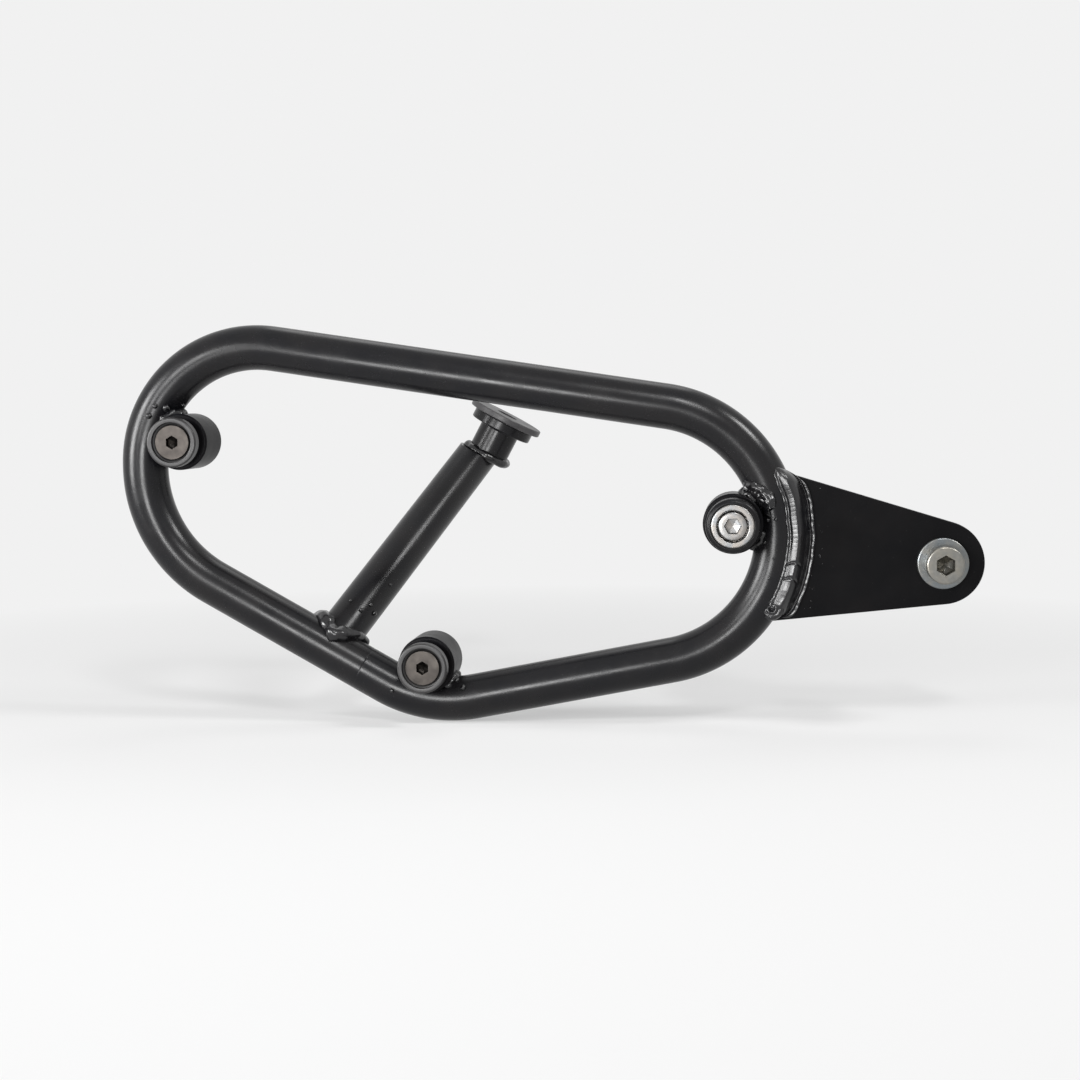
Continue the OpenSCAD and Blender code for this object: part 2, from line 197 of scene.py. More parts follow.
def bead(path, crowns, radii, look, seed, closed=False, facets=36):
    # a weld bead: a rippled rope that follows a path, with its crown towards crowns
    count = len(path)
    lengths = [0.0]
    for i in range(1, count):
        lengths.append(lengths[-1] + (path[i] - path[i - 1]).length)
    whole = lengths[-1] + ((path[0] - path[-1]).length if closed else 0)
    ripples = max(1, round(whole / look["pitch"]))
    lump, lumpSize = look["lump"], look.get("lumpSize", beadForm["lumpSize"])
    shift = Vector((seed * 7.3, seed * 3.1, seed * 5.7))
    rings = []
    for i in range(count):
        before = path[i - 1] if closed or i > 0 else path[i]
        after = path[(i + 1) % count] if closed or i < count - 1 else path[i]
        heading = (after - before).normalized()
        crown = (crowns[i] - heading * crowns[i].dot(heading)).normalized()
        side = heading.cross(crown)
        radius = radii[i]
        if not closed:
            toEnd = min(lengths[i], whole - lengths[i]) / radius
            radius *= math.sqrt(max(beadForm["bluntEnd"], 1 - (1 - min(1, toEnd)) ** 2))
        ring = []
        for angle in onceRound(facets):
            bow = beadForm["bow"] * math.sin(angle) ** 2
            wave = scales(lengths[i] / whole * ripples - bow) - scaleLevel
            direction = crown * math.cos(angle) + side * math.sin(angle) * look.get("flat", 1.0)
            place = path[i] + direction * radius
            soft = noise.noise(place / lumpSize + shift) * lump
            fineSpot = place / (lumpSize * beadForm["fineSize"]) + shift
            fine = noise.noise(fineSpot) * lump * beadForm["fineShare"]
            share = radius / radii[i]
            ring.append(path[i] + direction * (radius + (look["ripple"] * wave + soft + fine) * share))
        rings.append(ring)
    return joinRings(rings, along=closed, capped=not closed)


dropForm = {"rings": 9, "facets": 16, "squash": 0.78, "raise": 0.35, "uneven": 0.16, "unevenSize": 1.7}


def drop(place, normal, radius, seed):
    # one spatter drop, a little squashed, standing on a surface
    side = normal.orthogonal().normalized()
    other = normal.cross(side)
    rings = []
    for i in range(dropForm["rings"]):
        lift = math.pi * (i + 0.02) / (dropForm["rings"] - 1 + 0.04)
        ring = []
        for angle in onceRound(dropForm["facets"]):
            flatOut = side * math.cos(angle) + other * math.sin(angle)
            point = flatOut * math.sin(lift) + normal * (dropForm["squash"] * math.cos(lift))
            spot = point * dropForm["unevenSize"] + Vector((seed, 0, seed * 0.37))
            uneven = 1 + dropForm["uneven"] * noise.noise(spot)
            ring.append(place + normal * (radius * dropForm["raise"]) + point * radius * uneven)
        rings.append(ring)
    return joinRings(rings, capped=True)


# Materials. Each has its own settings and is built from noise in the part's own coordinates.

def newFinish(name, metallic, specular=0.5):
    material = bpy.data.materials.new(name)
    material.use_nodes = True
    tree = material.node_tree
    shader = tree.nodes["Principled BSDF"]
    shader.inputs["Metallic"].default_value = metallic
    shader.inputs["Specular IOR Level"].default_value = specular
    places = tree.nodes.new("ShaderNodeTexCoord")
    return material, tree, shader, places.outputs["Object"]


def speckle(tree, places, size, detail=3.0, stretch=None):
    # a noise with blotches of about this size in millimetres
    if stretch is not None:
        mapping = tree.nodes.new("ShaderNodeMapping")
        mapping.inputs["Scale"].default_value = stretch
        tree.links.new(places, mapping.inputs["Vector"])
        places = mapping.outputs["Vector"]
    texture = tree.nodes.new("ShaderNodeTexNoise")
    texture.inputs["Scale"].default_value = 1 / (size * mm)
    texture.inputs["Detail"].default_value = detail
    tree.links.new(places, texture.inputs["Vector"])
    return texture.outputs["Fac"]


def spread(tree, value, low, high, fromLow=0.35, fromHigh=0.65):
    ranged = tree.nodes.new("ShaderNodeMapRange")
    ranged.inputs["From Min"].default_value = fromLow
    ranged.inputs["From Max"].default_value = fromHigh
    ranged.inputs["To Min"].default_value = low
    ranged.inputs["To Max"].default_value = high
    tree.links.new(value, ranged.inputs["Value"])
    return ranged.outputs["Result"]


def blendColours(tree, share, first, second):
    mix = tree.nodes.new("ShaderNodeMix")
    mix.data_type = "RGBA"
    tree.links.new(share, mix.inputs[0])
    for value, socket in ((first, mix.inputs[6]), (second, mix.inputs[7])):
        if isinstance(value, tuple):
            socket.default_value = (*value, 1)
        else:
            tree.links.new(value, socket)
    return mix.outputs[2]


def raised(tree, height, depth, strength=1.0, under=None):
    # a bump of this depth in millimetres, on top of another bump if one is given
    bump = tree.nodes.new("ShaderNodeBump")
    bump.inputs["Strength"].default_value = strength
    bump.inputs["Distance"].default_value = depth * mm
    tree.links.new(height, bump.inputs["Height"])
    if under is not None:
        tree.links.new(under, bump.inputs["Normal"])
    return bump.outputs["Normal"]


# The coat's settings, which a coated piece may change
coatLook = {"colour": (0.0045, 0.0045, 0.0055), "worn": (0.007, 0.0065, 0.007), "toneSize": 14.0,
            "dust": (0.06, 0.058, 0.055), "dustShare": 0.35, "dustScale": 420.0, "gloss": 0.24,
            "roughness": (0.22, 0.29), "roughSize": 9.0, "peelSize": 1.3, "peelDepth": 0.008,
            "grainSize": 0.3, "grainDepth": 0.0012}


def blackCoat(name, **changes):
    look = {**coatLook, **changes}
    material, tree, shader, places = newFinish(name, 0.0, look["gloss"])
    tone = spread(tree, speckle(tree, places, look["toneSize"]), 0, 1)
    colour = blendColours(tree, tone, look["colour"], look["worn"])
    specks = tree.nodes.new("ShaderNodeTexVoronoi")
    specks.inputs["Scale"].default_value = look["dustScale"]
    tree.links.new(places, specks.inputs["Vector"])
    dust = spread(tree, specks.outputs["Distance"], look["dustShare"], 0, 0.035, 0.075)
    colour = blendColours(tree, dust, colour, look["dust"])
    tree.links.new(colour, shader.inputs["Base Color"])
    rough = spread(tree, speckle(tree, places, look["roughSize"]), *look["roughness"])
    tree.links.new(rough, shader.inputs["Roughness"])
    peel = raised(tree, speckle(tree, places, look["peelSize"], 1.5), look["peelDepth"])
    grain = raised(tree, speckle(tree, places, look["grainSize"], 1.0), look["grainDepth"], under=peel)
    tree.links.new(grain, shader.inputs["Normal"])
    return material


# The zinc's settings, which a bare piece may change
metalLook = {"cool": (0.21, 0.215, 0.22), "warm": (0.26, 0.24, 0.22), "toneSize": 3.2,
             "roughness": (0.29, 0.37), "roughSize": 1.1, "scratch": 0.0006, "scratchSize": 0.9,
             "scratchRun": (1.0, 0.2, 3.0), "pitSize": 0.35, "pitShare": 0.5}


def bareMetal(name, **changes):
    look = {**metalLook, **changes}
    material, tree, shader, places = newFinish(name, 1.0)
    tone = spread(tree, speckle(tree, places, look["toneSize"], 4.0), 0, 1)
    tree.links.new(blendColours(tree, tone, look["cool"], look["warm"]), shader.inputs["Base Color"])
    rough = spread(tree, speckle(tree, places, look["roughSize"], 4.0), *look["roughness"])
    tree.links.new(rough, shader.inputs["Roughness"])
    scratches = speckle(tree, places, look["scratchSize"], 4.0, look["scratchRun"])
    grain = raised(tree, scratches, look["scratch"])
    pitted = speckle(tree, places, look["pitSize"], 2.0)
    pits = raised(tree, pitted, look["scratch"] * look["pitShare"], under=grain)
    tree.links.new(pits, shader.inputs["Normal"])
    return material


tubeCoat = blackCoat("tubeCoat")
# the plate has the same black paint as the tube; here its colour is made darker as painted shade, and its
# gloss is lower
shadedPlateCoat = blackCoat("shadedPlateCoat", colour=(0.003, 0.003, 0.0035), worn=(0.0045, 0.0042, 0.0045), gloss=0.06,
                      roughness=(0.28, 0.36), peelDepth=0.012)
bossCoat = blackCoat("bossCoat", gloss=0.04, roughness=(0.26, 0.34))
weldCoat = blackCoat("weldCoat", gloss=0.50, roughness=(0.19, 0.27), peelSize=1.6, peelDepth=0.003,
                     grainDepth=0.0003, dustShare=0.15)
studCoat = blackCoat("studCoat", colour=(0.012, 0.0115, 0.012), worn=(0.02, 0.019, 0.019), gloss=0.42,
                     roughness=(0.32, 0.40), peelDepth=0.004)
collarCoat = blackCoat("collarCoat", gloss=0.16, roughness=(0.26, 0.34), peelDepth=0.003)
washerCoat = blackCoat("washerCoat", colour=(0.035, 0.034, 0.036), worn=(0.055, 0.053, 0.054), gloss=0.35,
                       roughness=(0.36, 0.46))
zinc = bareMetal("zincPlate")
boltZinc = bareMetal("boltZinc", cool=(0.20, 0.198, 0.186), warm=(0.24, 0.226, 0.196))
# a darker, bluer copy of the zinc for the front washer: its colour is a painted reflection of darker
# surroundings in its face
shadedWasherZinc = bareMetal("shadedWasherZinc", cool=(0.16, 0.175, 0.185), warm=(0.20, 0.20, 0.19))
screwSteel = bareMetal("darkScrewSteel", cool=(0.036, 0.0325, 0.030), warm=(0.057, 0.051, 0.0465),
                       roughness=(0.34, 0.44), scratch=0.005)


def makeWeld(name, shape, stands=()):
    # a piece of weld metal, soft over its ripples
    makePiece(name, shape, weldCoat, stands, creaseAngle=60, evenFlats=False)


print("finishes made")


# Camera at the photograph's angle

shot = {"place": (-68.19, -605.64, 56.38), "turn": -5.044, "tip": -3.494, "roll": -0.422,
        "focal": 1716.5 / 1080 * 36, "shift": (-0.05, -0.03)}


def makeCamera():
    turn, tip, roll = (math.radians(shot[key]) for key in ("turn", "tip", "roll"))
    ahead = Vector((math.sin(turn) * math.cos(tip), math.cos(turn) * math.cos(tip), math.sin(tip)))
    level = Vector((math.cos(turn), -math.sin(turn), 0))
    rise = level.cross(ahead)
    right = level * math.cos(roll) + rise * math.sin(roll)
    top = rise * math.cos(roll) - level * math.sin(roll)
    camera = bpy.data.objects.new("camera", bpy.data.cameras.new("camera"))
    bpy.context.scene.collection.objects.link(camera)
    camera.matrix_world = Matrix.Translation(Vector(shot["place"]) * mm) @ Matrix(
        (right, top, -ahead)).transposed().to_4x4()
    camera.data.sensor_width = 36
    camera.data.lens = shot["focal"]
    camera.data.shift_x, camera.data.shift_y = shot["shift"]
    camera.data.clip_start = 0.02
    bpy.context.scene.camera = camera


makeCamera()
bpy.context.scene.view_settings.view_transform = "Standard"


# Floor, world and lamps. The floor's half width, the places of its fade and the lamps are in metres

room = {"floorHeight": -57.0, "floorHalf": 6.0, "floorColour": 0.84, "floorRoughness": 0.9,
        "backdrop": 0.88, "ambient": 0.12, "fadeFrom": 0.15, "fadeTo": 0.46, "nearGlow": 0.5}
lamps = {
    "leftSoftbox": {"place": (-1.04, -0.52, 0.17), "size": (0.30, 0.45), "power": 11.5},
    "middleSoftbox": {"place": (-0.62, -0.74, 0.19), "size": (0.18, 0.22), "power": 2.6},
    "frontSoftbox": {"place": (-0.29, -0.73, 0.015), "size": (0.18, 0.13), "power": 2.6},
    "highSoftbox": {"place": (0.06, -0.65, 0.63), "size": (0.12, 0.18), "power": 2.5},
    "rightSoftbox": {"place": (0.48, -0.17, 0.62), "size": (0.20, 0.20), "power": 3.4},
    "backSoftbox": {"place": (-0.15, 0.50, 0.85), "size": (0.50, 0.40), "power": 1.2},
}
aim = Vector((-0.14, 0.0, 0.01))


def seenRay(tree):
    # 1 for rays that come straight from the camera or by a mirror or glass
    path = tree.nodes.new("ShaderNodeLightPath")
    value = path.outputs["Is Camera Ray"]
    for other in ("Is Glossy Ray", "Is Transmission Ray"):
        larger = tree.nodes.new("ShaderNodeMath")
        larger.operation = "MAXIMUM"
        tree.links.new(value, larger.inputs[0])
        tree.links.new(path.outputs[other], larger.inputs[1])
        value = larger.outputs[0]
    return value


def makeWorld():
    world = bpy.data.worlds.new("studio")
    world.use_nodes = True
    bpy.context.scene.world = world
    tree = world.node_tree
    light = tree.nodes["Background"]
    light.inputs["Color"].default_value = (1, 1, 1, 1)
    light.inputs["Strength"].default_value = room["ambient"]
    shown = tree.nodes.new("ShaderNodeBackground")
    shown.inputs["Color"].default_value = (room["backdrop"],) * 3 + (1,)
    mix = tree.nodes.new("ShaderNodeMixShader")
    tree.links.new(seenRay(tree), mix.inputs[0])
    tree.links.new(light.outputs[0], mix.inputs[1])
    tree.links.new(shown.outputs[0], mix.inputs[2])
    tree.links.new(mix.outputs[0], tree.nodes["World Output"].inputs[0])


def makeFloor():
    # a pale floor that keeps the shadow near the part and fades into the backdrop
    half, height = room["floorHalf"], room["floorHeight"] * mm
    mesh = bpy.data.meshes.new("floor")
    corners = [(-half, -half, height), (half, -half, height), (half, half, height), (-half, half, height)]
    mesh.from_pydata(corners, [], [(0, 1, 2, 3)])
    floor = bpy.data.objects.new("floor", mesh)
    bpy.context.scene.collection.objects.link(floor)
    material = bpy.data.materials.new("paleFloor")
    material.use_nodes = True
    tree = material.node_tree
    shader = tree.nodes["Principled BSDF"]
    shader.inputs["Base Color"].default_value = (room["floorColour"],) * 3 + (1,)
    shader.inputs["Roughness"].default_value = room["floorRoughness"]
    shader.inputs["Specular IOR Level"].default_value = 0.0
    glow = tree.nodes.new("ShaderNodeEmission")
    glow.inputs["Color"].default_value = (room["backdrop"],) * 3 + (1,)
    places = tree.nodes.new("ShaderNodeTexCoord")
    distance = tree.nodes.new("ShaderNodeVectorMath")
    distance.operation = "DISTANCE"
    distance.inputs[1].default_value = (aim.x, aim.y, height)
    tree.links.new(places.outputs["Object"], distance.inputs[0])
    away = spread(tree, distance.outputs["Value"], room["nearGlow"], 1, room["fadeFrom"], room["fadeTo"])
    share = tree.nodes.new("ShaderNodeMath")
    share.operation = "MULTIPLY"
    tree.links.new(away, share.inputs[0])
    tree.links.new(seenRay(tree), share.inputs[1])
    mix = tree.nodes.new("ShaderNodeMixShader")
    tree.links.new(share.outputs[0], mix.inputs[0])
    tree.links.new(shader.outputs[0], mix.inputs[1])
    tree.links.new(glow.outputs[0], mix.inputs[2])
    tree.links.new(mix.outputs[0], tree.nodes["Material Output"].inputs[0])
    mesh.materials.append(material)


def makeLamps():
    for name, lamp in lamps.items():
        data = bpy.data.lights.new(name, "AREA")
        data.shape = "RECTANGLE"
        data.size, data.size_y = lamp["size"]
        data.energy = lamp["power"]
        light = bpy.data.objects.new(name, data)
        bpy.context.scene.collection.objects.link(light)
        light.location = lamp["place"]
        light.visible_camera = False
        light.rotation_euler = (aim - light.location).to_track_quat("-Z", "Y").to_euler()


makeWorld()
makeFloor()
makeLamps()
print("room and lamps made")


# Hoop

lowNormal = runNormal(lowerLeft, bottomBend)
lowStart = onBend(lowerLeft, lowNormal, lowerLeft[2])
lowHeading = polar(lowNormal + 90)
hoop = {"runStep": 3.0, "seamFromBend": 62.5, "seamWidth": 0.26, "seamDepth": 0.15, "seamClear": 1.2,
        "seamShape": ((-1, 0), (-0.6, 0.35), (-0.25, 0.9), (0, 1), (0.25, 0.9), (0.6, 0.35), (1, 0))}
frontView = {"pixelSize": 0.3556, "boltX": 940.5, "boltY": 561.8}  # scale, and where the bolt is seen


def hoopStations():
    # centreline places with their outward normals, once round the hoop
    stations = []
    for i, bend in enumerate(bends):
        before, after = bends[i - 1], bends[(i + 1) % len(bends)]
        enter, leave = runNormal(before, bend), runNormal(bend, after)
        turn = (leave - enter) % 360
        steps = max(2, round(math.radians(turn) * bend[2] / tube["step"]))
        for j in range(steps + 1):
            angle = enter + turn * j / steps
            stations.append((onBend(bend, angle, bend[2]), polar(angle), 0))
        start, end = onBend(bend, leave, bend[2]), onBend(after, leave, after[2])
        length = (end - start).length
        spaces = max(1, round(length / hoop["runStep"]))
        marks = [length * j / spaces for j in range(1, spaces)]
        cuts = {}
        if bend is lowerLeft:  # the butt joint's shallow line
            seam, half = hoop["seamFromBend"], hoop["seamWidth"]
            marks = [mark for mark in marks if abs(mark - seam) > hoop["seamClear"]]
            for offset, depth in hoop["seamShape"]:
                cuts[seam + offset * half] = depth * hoop["seamDepth"]
        for mark in sorted(marks + list(cuts)):
            stations.append((start + (end - start) * (mark / length), polar(leave), cuts.get(mark, 0)))
    return stations


hoopLine = hoopStations()


def makeHoop():
    rings = []
    for flat, normal, cut in hoopLine:
        ring = []
        for angle in onceRound(tube["facets"]):
            radius = tube["radius"] - cut * (0.6 - 0.4 * math.cos(angle))  # the seam is deeper inside
            place = flat + normal * (radius * math.cos(angle))
            ring.append(inPlane(place, tube["planeY"] + radius * math.sin(angle)))
        rings.append(ring)
    makePiece("hoop", joinRings(rings, along=True), tubeCoat, ["hoop_tube"], creaseAngle=50)


def hoopSurface(px, py):
    # the outer side of the hoop nearest to a place of the front view, with its normal
    size = frontView["pixelSize"]
    flat = Vector(((px - frontView["boltX"]) * size, (frontView["boltY"] - py) * size))
    middle, normal = min(hoopLine, key=lambda station: (station[0] - flat).length)[:2]
    furthest = 0.95 * tube["radius"]
    off = max(-furthest, min(furthest, (flat - middle).dot(normal)))
    rise = math.sqrt(tube["radius"] ** 2 - off ** 2)
    facing = (inPlane(normal * off, 0) + outward * rise).normalized()
    return inPlane(middle, tube["planeY"]) + facing * tube["radius"], facing


makeHoop()
print("hoop made")


# Strut from the hoop's lower left run to the bush

strut = {"footFromBend": 48.0, "footSink": 0.4, "head": (-175.0, 80.0, 37.0), "bushTilt": 28.0,
         "bushShift": 3.4, "facets": 72, "rows": 40}
foot = inPlane(lowStart + lowHeading * strut["footFromBend"], tube["planeY"])
strutHead = Vector(strut["head"])
strutHeading = (strutHead - foot).normalized()
hoopHeading = inPlane(lowHeading, 0)
tilt = math.radians(strut["bushTilt"])
bushUp = Vector((math.sin(tilt), 0, math.cos(tilt)))
bushBase = strutHead + Vector((math.cos(tilt), 0, -math.sin(tilt))) * strut["bushShift"]
strutSide = strutHeading.cross(hoopHeading).normalized()
strutAlong = strutSide.cross(strutHeading)


def strutSpoke(angle):
    return strutSide * math.cos(angle) + strutAlong * math.sin(angle)


def reachHoop(angle, radius):
    # how far along the strut its surface leaves the hoop's tube, at this angle round it
    spoke = strutSpoke(angle) * radius
    across = spoke - hoopHeading * spoke.dot(hoopHeading)
    rise = strutHeading - hoopHeading * strutHeading.dot(hoopHeading)
    a, b, c = rise.dot(rise), 2 * across.dot(rise), across.dot(across) - tube["radius"] ** 2
    return (-b + math.sqrt(max(0, b * b - 4 * a * c))) / (2 * a)


def reachCut(angle, radius):
    # how far along the strut its slanted cut under the bush is
    start = foot + strutSpoke(angle) * radius
    return (bushBase - start).dot(bushUp) / strutHeading.dot(bushUp)


def makeStrut():
    facets, rows = strut["facets"], strut["rows"]
    inner, outer = tube["radius"] - tube["wall"], tube["radius"]
    columns = []
    for angle in onceRound(facets):
        column = []
        for radius, order in ((outer, range(rows + 1)), (inner, range(rows, -1, -1))):
            low, high = reachHoop(angle, outer) - strut["footSink"], reachCut(angle, radius)
            for j in order:
                far = low + (high - low) * j / rows
                column.append(foot + strutSpoke(angle) * radius + strutHeading * far)
        columns.append(column)
    makePiece("strut", joinRings(columns, around=True, along=True), tubeCoat, ["strut_tube"])


makeStrut()
print("strut made")


# Mounting plate, laser cut with broken edges

plate = {"thickness": 4.0, "endRadius": 14.5, "topAngle": 24.0, "lowAngle": -35.0, "hole": 8.5,
         "edge": 0.45, "seatSink": 0.3, "seatSteps": 40, "endSteps": 48, "holeSteps": 64}
seatRadius = rightBend[2] + tube["radius"] - plate["seatSink"]


def endTangent(corner, side):
    lean = math.degrees(math.acos(plate["endRadius"] / corner.length))
    return math.degrees(math.atan2(corner.y, corner.x)) + side * lean


def plateOutline():
    # up the seat on the hoop, then round the nose
    lowAngle, topAngle = plate["lowAngle"], plate["topAngle"]
    outline = []
    for j in range(plate["seatSteps"] + 1):
        angle = lowAngle + (topAngle - lowAngle) * j / plate["seatSteps"]
        outline.append(onBend(rightBend, angle, seatRadius))
    fromAngle = endTangent(onBend(rightBend, topAngle, seatRadius), -1)
    toAngle = endTangent(onBend(rightBend, lowAngle, seatRadius), 1)
    sweep = (toAngle - fromAngle) % -360
    for j in range(plate["endSteps"] + 1):
        outline.append(polar(fromAngle + sweep * j / plate["endSteps"]) * plate["endRadius"])
    return outline


def makePlate():
    data = bpy.data.curves.new("plateSketch", "CURVE")
    data.dimensions = "2D"
    data.fill_mode = "BOTH"
    count = plate["holeSteps"]
    hole = [polar(360 * j / count) * (plate["hole"] / 2) for j in range(count)]
    for loop in (plateOutline(), hole):
        spline = data.splines.new("POLY")
        spline.points.add(len(loop) - 1)
        for j, point in enumerate(loop):
            spline.points[j].co = (point.x, point.y, 0, 1)
        spline.use_cyclic_u = True
    data.extrude = plate["thickness"] / 2 - plate["edge"]
    data.bevel_depth = plate["edge"]
    data.bevel_resolution = 3
    data.offset = -plate["edge"]
    sketch = bpy.data.objects.new("plateSketch", data)
    bpy.context.scene.collection.objects.link(sketch)
    bpy.context.view_layer.update()
    raw = bpy.data.meshes.new_from_object(sketch.evaluated_get(bpy.context.evaluated_depsgraph_get()))
    bpy.data.objects.remove(sketch)
    points = [vertex.co.copy() for vertex in raw.vertices]
    faces = [tuple(face.vertices) for face in raw.polygons]
    place = Matrix.Translation((0, -plate["thickness"] / 2, 0)) @ Matrix.Rotation(math.radians(90), 4, "X")
    makePiece("mountingPlate", (points, faces), shadedPlateCoat, ["mounting_plate"], place=place)


makePlate()
print("plate made")


# Beads between plate and hoop

# The section is given by its distance from the bend's centre and its Y, from the tube to the plate
plateBead = {
    "section": [(48.5, -9.1), (48.75, -9.5), (49.2, -9.6), (49.65, -9.52), (50.05, -9.62), (50.45, -9.93),
                (51.1, -10.11), (51.8, -10.26), (52.5, -10.34), (53.0, -10.16), (53.6, -9.55), (54.6, -8.3),
                (55.6, -6.5), (56.3, -5.3), (56.8, -4.7), (57.1, -5.0), (57.4, -5.35), (57.8, -5.47),
                (58.15, -5.5), (58.5, -5.1), (58.7, -4.1), (58.75, -3.7), (57.9, -3.2), (53.5, -2.2),
                (49.7, -6.6)],
    "hidden": 3, "smoothing": 4, "from": -32.0, "to": 27.6, "step": 0.22, "ground": 0.3,
    "lowTaper": 4.0, "topTaper": 5.0, "endWidth": 0.3, "topSlant": 1.3, "slantFrom": 51.5,
    "slantLength": 12.0, "middle": 52.5, "crown": 52.2, "crownHalf": 3.6, "toe": 49.1, "lip": 57.8,
    "edgeHalf": 1.1, "pitch": 1.6, "ripple": 0.014, "bow": 0.45, "bowHalf": 3.5, "wander": 0.4,
    "swell": 0.35, "uneven": 0.35, "restarts": (14.5, 20.1), "restartBow": 2.6, "restartDepth": 0.34,
    "restartWidth": 0.4}
crater = {"angle": -30.5, "radius": 50.3, "size": 4.2, "height": 2.0, "lean": -12.0, "sink": 0.4,
          "ridge": 0.24, "ridgePitch": 1.7, "dish": 1.0, "dishSize": 1.3, "uneven": 0.35, "rings": 40,
          "facets": 72}
backBead = {"radius": 3.0, "pitch": 1.7, "ripple": 0.08, "lump": 0.30, "from": -32.0, "to": 22.0,
            "off": 0.6, "y": 1.0, "step": 0.3}


def smoothLine(knots, steps):
    # an even curve through the knots
    made = []
    for i in range(len(knots) - 1):
        a, b, c, d = (Vector(knots[min(max(k, 0), len(knots) - 1)]) for k in (i - 1, i, i + 1, i + 2))
        for j in range(steps):
            t = j / steps
            made.append(0.5 * (2 * b + (c - a) * t + (2 * a - 5 * b + 4 * c - d) * t ** 2
                               + (3 * b - 3 * c + d - a) * t ** 3))
    return made + [Vector(knots[-1])]


def jointSurface(radius):
    # Y of the tube's or the plate's outer side under the bead
    offset = radius - rightBend[2]
    onTube = tube["planeY"] - math.sqrt(max(0, tube["radius"] ** 2 - offset ** 2))
    return min(onTube, -plate["thickness"])


def shareAt(radius, place, half):
    # 1 at a place across the bead, and 0 from half a width away
    return max(0, 1 - abs(radius - place) / half)


def waver(along, length, row, column):
    return noise.noise(Vector((along / length, row, column)))


def unevenPoint(radius, y, along, swell):
    # a point of the section with the scales, the restarts and the broken edges
    look = plateBead
    crownShare = shareAt(radius, look["crown"], look["crownHalf"])
    lipUneven = look["uneven"] * shareAt(radius, look["lip"], look["edgeHalf"])
    toeUneven = look["uneven"] * shareAt(radius, look["toe"], look["edgeHalf"])
    across = ((radius - look["crown"]) / look["bowHalf"]) ** 2
    wave = scales(along / look["pitch"] + look["bow"] * across) - scaleLevel
    y -= look["ripple"] * wave * (0.25 + crownShare)
    y -= swell * crownShare
    for start in look["restarts"]:
        past = along - start + look["restartBow"] * across
        dent = math.exp(-(past / look["restartWidth"]) ** 2)
        y += look["restartDepth"] * dent * min(1, crownShare * 3)
    y -= 0.6 * lipUneven * waver(along, 1.7, 9, 3) + 0.5 * toeUneven * waver(along, 2.3, 6, 2)
    radius += 1.5 * lipUneven * waver(along, 3.4, 4, 1) - toeUneven * waver(along, 3.1, 1, 8)
    return radius, y


def makeMainBead():
    look = plateBead
    whole = math.radians(look["to"] - look["from"]) * seatRadius
    rows = round(whole / look["step"])
    shown = len(look["section"]) - look["hidden"]
    surface = smoothLine(look["section"][:shown], look["smoothing"])
    rings = []
    for i in range(rows + 1):
        along = whole * i / rows
        angle = look["from"] + (look["to"] - look["from"]) * i / rows
        toEnd = min(1, along / look["lowTaper"], (whole - along) / look["topTaper"])
        full = math.sqrt(max(0.0, 1 - (1 - toEnd) ** 2))
        width = look["endWidth"] + (1 - look["endWidth"]) * full
        slant = look["topSlant"] * max(0, 1 - (whole - along) / look["slantLength"])
        shift = look["wander"] * waver(along, 9, 2.5, 0)
        swell = look["swell"] * waver(along, 6, 0, 7.5)
        section = [(*unevenPoint(*point, along, swell), True) for point in surface]
        section += [(*point, False) for point in look["section"][shown:]]
        ring = []
        for radius, y, onTop in section:
            radius = look["middle"] + (radius - look["middle"]) * width + shift
            if onTop:
                base = jointSurface(radius) + look["ground"]
                y = base + (y - base) * full
            lean = slant * max(0, radius - look["slantFrom"])
            ring.append(inPlane(onBend(rightBend, angle - lean, radius), y))
        rings.append(ring)
    return joinRings(rings, capped=True)


def makeCrater():
    # the swirl where the bead was ended
    look = crater
    lean = math.radians(look["lean"])
    away = inPlane(polar(look["angle"]), 0)
    up = outward * math.cos(lean) + away * math.sin(lean)
    side = up.cross(away).normalized()
    other = up.cross(side)
    flat = onBend(rightBend, look["angle"], look["radius"])
    place = inPlane(flat, jointSurface(look["radius"])) - up * look["sink"]
    rings = []
    for i in range(look["rings"] + 1):
        part = max(0.004, i / look["rings"])
        ring = []
        for angle in onceRound(look["facets"]):
            rim = 1 + 0.07 * noise.noise(Vector((math.cos(angle), math.sin(angle), 3)))
            distance = part * look["size"] * rim
            dome = look["height"] * math.sqrt(max(0, 1 - part ** 2.6))
            dish = look["dish"] * math.exp(-(distance / look["dishSize"]) ** 2)
            turn = distance / look["ridgePitch"] - angle / (2 * math.pi)
            ridge = look["ridge"] * math.sin(2 * math.pi * turn) * (1 - part ** 4)
            rise = dome - dish + ridge + look["uneven"] * waver(distance, 2, angle, 5)
            flatOut = side * math.cos(angle) + other * math.sin(angle)
            ring.append(place + flatOut * distance + up * (rise if part < 1 else -0.3))
        rings.append(ring)
    rings.append([place + (point - place) * 0.6 - up * 2.0 for point in rings[-1]])
    return joinRings(rings, capped=True)


def makeBackBead():
    look = backBead
    radius = tube["radius"] + rightBend[2] + look["off"]
    steps = round(math.radians(look["to"] - look["from"]) * radius / look["step"])
    path, crowns = [], []
    for j in range(steps + 1):
        angle = look["from"] + (look["to"] - look["from"]) * j / steps
        path.append(inPlane(onBend(rightBend, angle, radius), look["y"]))
        crowns.append((inPlane(polar(angle), 0) * 0.4 - outward).normalized())
    return bead(path, crowns, [look["radius"]] * len(path), look, 3)


def makePlateBeads():
    shape = addShapes(makeMainBead(), makeCrater(), makeBackBead())
    makeWeld("plateBeads", shape, ["plate_weld"])


makePlateBeads()
print("plate beads made")


# Bead round the strut's foot, thick and uneven

footBead = {"radius": 2.6, "leftSwell": 0.6, "unevenRadius": 0.22, "lift": 0.5, "count": 150, "facets": 44,
            "pitch": 1.7, "ripple": 0.08, "lump": 1.0}


